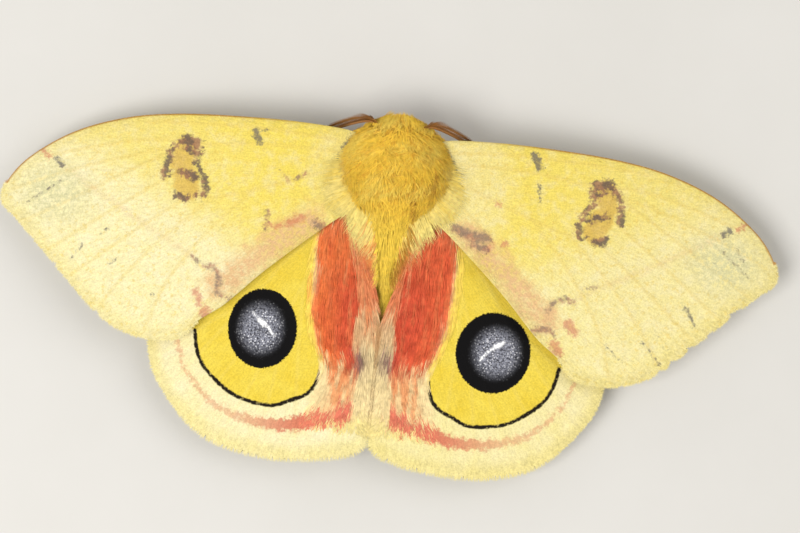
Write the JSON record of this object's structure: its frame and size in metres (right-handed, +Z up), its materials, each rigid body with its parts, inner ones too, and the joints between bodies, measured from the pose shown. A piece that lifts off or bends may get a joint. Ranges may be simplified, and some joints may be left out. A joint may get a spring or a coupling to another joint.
{
  "type": "io moth",
  "caption": "Life-size male io moth with wings spread flat, hindwing eyespots shown, furry body, feathery feelers and jointed legs standing on the ground.",
  "frame": {"origin": "middle of the footprint on the ground under the moth, at the level of the feet", "axes": "+Z up, +Y towards the head, +X towards the moth's own right wing"},
  "size_m": [0.0688, 0.031, 0.0094],
  "materials": {
    "body_fur": "dense golden yellow hair",
    "wing": "matt yellow wing scales with dark and red marks",
    "eye": "dark, finely faceted, glossy",
    "feeler": "orange-brown, feathery",
    "leg": "short red-brown hair"
  },
  "bodies": {
    "root": {"head": "body_fur", "thorax": "body_fur", "abdomen": "body_fur", "eye_left": "eye", "eye_right": "eye", "antenna_left": "feeler", "antenna_right": "feeler", "forewing_left": "wing", "forewing_right": "wing", "hindwing_left": "wing", "hindwing_right": "wing", "leg_front_left": "leg", "leg_front_right": "leg", "leg_middle_left": "leg", "leg_middle_right": "leg", "leg_hind_left": "leg", "leg_hind_right": "leg"}
  },
  "joints": []
}
